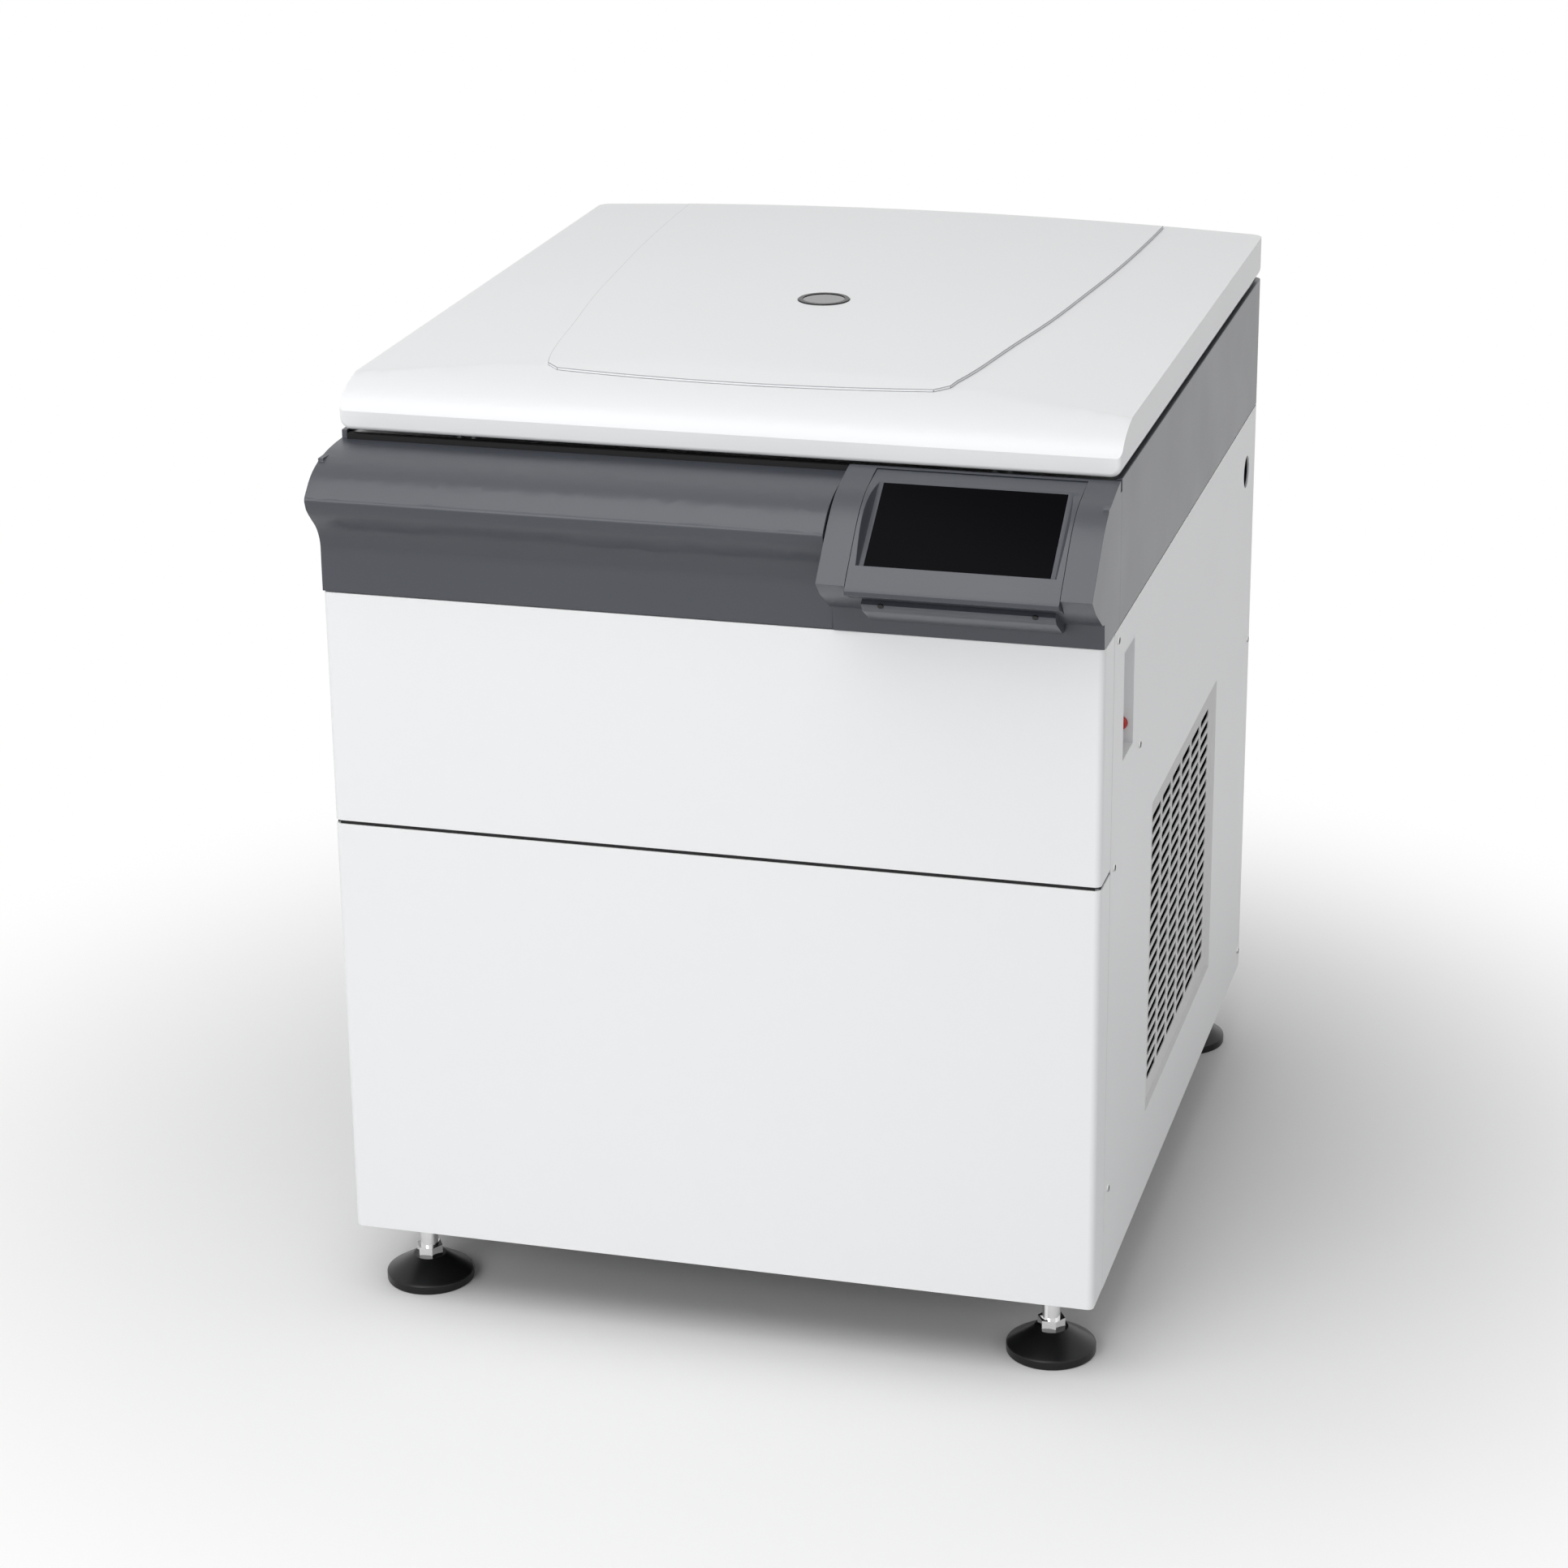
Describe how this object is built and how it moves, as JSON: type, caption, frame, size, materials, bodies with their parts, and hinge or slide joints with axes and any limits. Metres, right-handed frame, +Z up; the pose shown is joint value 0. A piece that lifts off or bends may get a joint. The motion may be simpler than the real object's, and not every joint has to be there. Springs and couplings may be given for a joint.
{
  "type": "refrigerated centrifuge",
  "caption": "Floor-standing refrigerated centrifuge: white cabinet on levelling feet, dark collar with tilted display, rear-hinged lid, steel chamber and swing-out rotor.",
  "frame": {"origin": "on the floor under the middle of the machine's outline, display lip included", "axes": "+X to the machine's right seen from the front, +Y to its rear, +Z up"},
  "size_m": [0.6828, 0.863, 0.858],
  "materials": {
    "white_paint": "satin powder coat",
    "white_plastic": "satin",
    "grey_plastic": "satin moulded",
    "black_glass": "gloss",
    "black_plastic": "satin",
    "window_glass": "gloss",
    "stainless": "brushed",
    "black_rubber": "matt",
    "copper": "drawn",
    "foam": "cut foam",
    "steel": "zinc plated",
    "black_paint": "satin",
    "aluminium": "anodised",
    "chrome": "polished",
    "red_plastic": "gloss"
  },
  "bodies": {
    "chassis": {"base_pan": "black_paint", "inner_frame": "steel", "front_cover_upper": "white_paint", "front_cover_lower": "white_paint", "side_panel_right": "white_paint", "side_panel_left": "white_paint", "rear_panel": "white_paint", "mains_inlet": "black_plastic", "vent_grilles": "white_paint", "switch_pocket": "white_plastic", "drain_spigot": "white_plastic", "collar": "grey_plastic", "display_housing": "grey_plastic", "display_module": "grey_plastic", "display_screen": "black_glass", "deck": "stainless", "chamber_bowl": "stainless", "chamber_gasket": "black_rubber", "evaporator_jacket": "copper", "insulation": "foam", "guard_ring": "steel", "motor_body": "black_paint", "motor_mounts": "black_rubber", "motor_boot": "black_rubber", "compressor": "black_paint", "condenser": "black_paint", "inverter_drive": "aluminium", "hinge_lugs": "steel", "spring_bracket": "steel", "latch_housings": "steel", "fasteners": "stainless"},
    "lid": {"lid_shell": "white_paint", "lid_panel": "white_paint", "window_ring": "black_plastic", "window_glass": "window_glass", "lid_liner": "white_plastic", "lid_strikers": "steel", "hinge_arms": "steel"},
    "rotor": {"spindle": "steel", "rotor_yoke": "aluminium", "rotor_nut": "stainless"},
    "latch_left": {"latch_hook_left": "steel"},
    "latch_right": {"latch_hook_right": "steel"},
    "power_button": {"power_button": "red_plastic"},
    "fan": {"fan": "black_plastic"},
    "spring_tube": {"spring_tube": "black_paint"},
    "spring_rod": {"spring_rod": "chrome"},
    "bucket_1": {"bucket_1": "aluminium"},
    "bucket_2": {"bucket_2": "aluminium"},
    "bucket_3": {"bucket_3": "aluminium"},
    "bucket_4": {"bucket_4": "aluminium"},
    "foot_front_left": {"foot_pad_front_left": "black_plastic", "foot_stem_front_left": "chrome"},
    "foot_front_right": {"foot_pad_front_right": "black_plastic", "foot_stem_front_right": "chrome"},
    "foot_rear_left": {"foot_pad_rear_left": "black_plastic", "foot_stem_rear_left": "chrome"},
    "foot_rear_right": {"foot_pad_rear_right": "black_plastic", "foot_stem_rear_right": "chrome"}
  },
  "joints": [
    {"name": "lid_hinge", "type": "hinge", "parent": "chassis", "child": "lid", "pos_m": [0, 0.42, 0.817], "axis": [-1, 0, 0], "range_deg": [0, 70]},
    {"name": "spring_foot", "type": "hinge", "parent": "chassis", "child": "spring_tube", "pos_m": [0.276, 0.2865, 0.48], "axis": [-1, 0, 0], "range_deg": [0, 3.86]},
    {"name": "spring_stroke", "type": "slide", "parent": "spring_tube", "child": "spring_rod", "axis": [0, 0.1408, 0.99], "range_m": [0, 0.09999]},
    {"name": "rotor_spin", "type": "hinge", "parent": "chassis", "child": "rotor", "pos_m": [0, 0.0315, 0.64], "axis": [0, 0, 1], "continuous": true},
    {"name": "bucket_1_swing", "type": "hinge", "parent": "rotor", "child": "bucket_1", "pos_m": [0.132, 0.0315, 0.64], "axis": [0, -1, 0], "range_deg": [0, 90]},
    {"name": "bucket_2_swing", "type": "hinge", "parent": "rotor", "child": "bucket_2", "pos_m": [0, 0.1635, 0.64], "axis": [1, 0, 0], "range_deg": [0, 90]},
    {"name": "bucket_3_swing", "type": "hinge", "parent": "rotor", "child": "bucket_3", "pos_m": [-0.132, 0.0315, 0.64], "axis": [0, 1, 0], "range_deg": [0, 90]},
    {"name": "bucket_4_swing", "type": "hinge", "parent": "rotor", "child": "bucket_4", "pos_m": [0, -0.1005, 0.64], "axis": [-1, 0, 0], "range_deg": [0, 90]},
    {"name": "latch_left_turn", "type": "hinge", "parent": "chassis", "child": "latch_left", "pos_m": [-0.235, -0.2625, 0.766], "axis": [1, 0, 0], "range_deg": [0, 20]},
    {"name": "latch_right_turn", "type": "hinge", "parent": "chassis", "child": "latch_right", "pos_m": [0.235, -0.2625, 0.766], "axis": [1, 0, 0], "range_deg": [0, 20]},
    {"name": "button_press", "type": "slide", "parent": "chassis", "child": "power_button", "axis": [0, 1, 0], "range_m": [0, 0.002], "stiffness_N_per_m": 300},
    {"name": "fan_spin", "type": "hinge", "parent": "chassis", "child": "fan", "pos_m": [0.2705, 0.0465, 0.3], "axis": [1, 0, 0], "continuous": true},
    {"name": "foot_front_left_screw", "type": "slide", "parent": "chassis", "child": "foot_front_left", "axis": [0, 0, -1], "range_m": [0, 0.02]},
    {"name": "foot_front_right_screw", "type": "slide", "parent": "chassis", "child": "foot_front_right", "axis": [0, 0, -1], "range_m": [0, 0.02]},
    {"name": "foot_rear_left_screw", "type": "slide", "parent": "chassis", "child": "foot_rear_left", "axis": [0, 0, -1], "range_m": [0, 0.02]},
    {"name": "foot_rear_right_screw", "type": "slide", "parent": "chassis", "child": "foot_rear_right", "axis": [0, 0, -1], "range_m": [0, 0.02]}
  ],
  "couplings": [
    {"joint": "spring_foot", "follows": "lid_hinge", "ratio": 0.05479},
    {"joint": "spring_stroke", "follows": "lid_hinge", "m_per_rad": 0.081682},
    {"joint": "latch_right_turn", "follows": "latch_left_turn", "ratio": 1}
  ]
}
